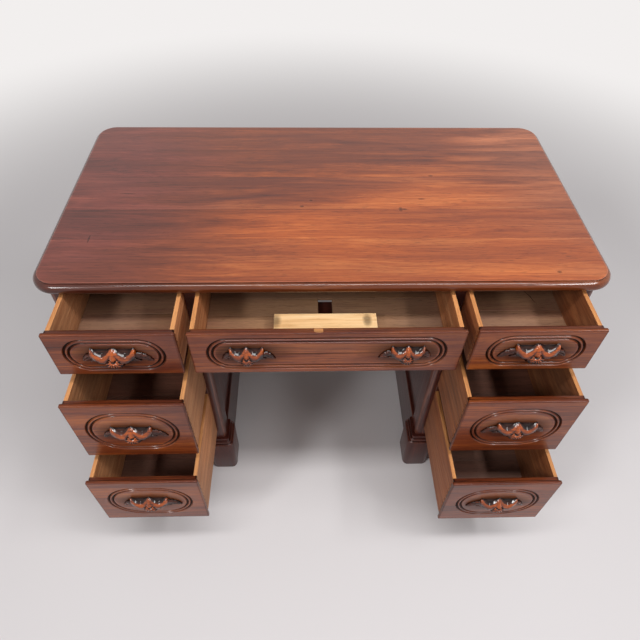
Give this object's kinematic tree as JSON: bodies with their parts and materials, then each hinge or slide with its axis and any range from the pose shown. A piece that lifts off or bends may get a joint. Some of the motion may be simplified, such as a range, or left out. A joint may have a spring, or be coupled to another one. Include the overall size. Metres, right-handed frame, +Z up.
{
  "type": "kneehole writing desk",
  "caption": "Kneehole writing desk with a moulded desktop, frieze drawers and drawer pedestals on block feet; lipped fronts with oval grooves and carved pulls.",
  "frame": {"origin": "on the floor, in the middle of the whole outline with the drawers standing open as at rest", "axes": "+X to the sitter's right, +Y to the back of the desk, +Z up; the drawers open towards -Y"},
  "size_m": [1.165, 0.8625, 0.775],
  "materials": {
    "desktop_walnut": "satin polish",
    "carcass_walnut": "satin polish",
    "drawer_front_walnut": "satin polish",
    "carved_walnut": "gloss polish",
    "drawer_side_wood": "bare, oiled",
    "drawer_lining_wood": "bare",
    "runner_wood": "bare",
    "pine": "bare"
  },
  "bodies": {
    "carcass": {"desktop": "desktop_walnut", "frieze_ends": "carcass_walnut", "frieze_dividers": "carcass_walnut", "frieze_back": "carcass_walnut", "frieze_top_rail": "carcass_walnut", "frieze_bottom_rail": "carcass_walnut", "frieze_runners": "runner_wood", "top_fixing_blocks": "runner_wood", "left_outer_frame": "carcass_walnut", "left_outer_panel": "carcass_walnut", "left_inner_frame": "carcass_walnut", "left_inner_panel": "carcass_walnut", "left_front_rails": "carcass_walnut", "left_feet": "carcass_walnut", "left_drawer_runners": "runner_wood", "right_outer_frame": "carcass_walnut", "right_outer_panel": "carcass_walnut", "right_inner_frame": "carcass_walnut", "right_inner_panel": "carcass_walnut", "right_front_rails": "carcass_walnut", "right_feet": "carcass_walnut", "right_drawer_runners": "runner_wood", "pedestal_back_frames": "carcass_walnut", "pedestal_back_panels": "carcass_walnut"},
    "top_left_drawer": {"top_left_drawer_front": "drawer_front_walnut", "top_left_drawer_sides": "drawer_side_wood", "top_left_drawer_bottom": "drawer_lining_wood", "top_left_drawer_back": "drawer_lining_wood", "top_left_drawer_pull": "carved_walnut"},
    "centre_drawer": {"centre_drawer_front": "drawer_front_walnut", "centre_drawer_sides": "drawer_side_wood", "centre_drawer_bottom": "drawer_lining_wood", "centre_drawer_back": "drawer_lining_wood", "centre_drawer_pull": "carved_walnut", "centre_drawer_batten": "pine"},
    "top_right_drawer": {"top_right_drawer_front": "drawer_front_walnut", "top_right_drawer_sides": "drawer_side_wood", "top_right_drawer_bottom": "drawer_lining_wood", "top_right_drawer_back": "drawer_lining_wood", "top_right_drawer_pull": "carved_walnut"},
    "middle_left_drawer": {"middle_left_drawer_front": "drawer_front_walnut", "middle_left_drawer_sides": "drawer_side_wood", "middle_left_drawer_bottom": "drawer_lining_wood", "middle_left_drawer_back": "drawer_lining_wood", "middle_left_drawer_pull": "carved_walnut"},
    "middle_right_drawer": {"middle_right_drawer_front": "drawer_front_walnut", "middle_right_drawer_sides": "drawer_side_wood", "middle_right_drawer_bottom": "drawer_lining_wood", "middle_right_drawer_back": "drawer_lining_wood", "middle_right_drawer_pull": "carved_walnut"},
    "bottom_left_drawer": {"bottom_left_drawer_front": "drawer_front_walnut", "bottom_left_drawer_sides": "drawer_side_wood", "bottom_left_drawer_bottom": "drawer_lining_wood", "bottom_left_drawer_back": "drawer_lining_wood", "bottom_left_drawer_pull": "carved_walnut"},
    "bottom_right_drawer": {"bottom_right_drawer_front": "drawer_front_walnut", "bottom_right_drawer_sides": "drawer_side_wood", "bottom_right_drawer_bottom": "drawer_lining_wood", "bottom_right_drawer_back": "drawer_lining_wood", "bottom_right_drawer_pull": "carved_walnut"}
  },
  "joints": [
    {"name": "top_left_slide", "type": "slide", "parent": "carcass", "child": "top_left_drawer", "axis": [0, -1, 0], "range_m": [-0.1118, 0.2878]},
    {"name": "centre_slide", "type": "slide", "parent": "carcass", "child": "centre_drawer", "axis": [0, -1, 0], "range_m": [-0.1116, 0.288]},
    {"name": "top_right_slide", "type": "slide", "parent": "carcass", "child": "top_right_drawer", "axis": [0, -1, 0], "range_m": [-0.1108, 0.2888]},
    {"name": "middle_left_slide", "type": "slide", "parent": "carcass", "child": "middle_left_drawer", "axis": [0, -1, 0], "range_m": [-0.1687, 0.2309]},
    {"name": "middle_right_slide", "type": "slide", "parent": "carcass", "child": "middle_right_drawer", "axis": [0, -1, 0], "range_m": [-0.171, 0.2286]},
    {"name": "bottom_left_slide", "type": "slide", "parent": "carcass", "child": "bottom_left_drawer", "axis": [0, -1, 0], "range_m": [-0.2274, 0.1722]},
    {"name": "bottom_right_slide", "type": "slide", "parent": "carcass", "child": "bottom_right_drawer", "axis": [0, -1, 0], "range_m": [-0.2445, 0.1551]}
  ]
}
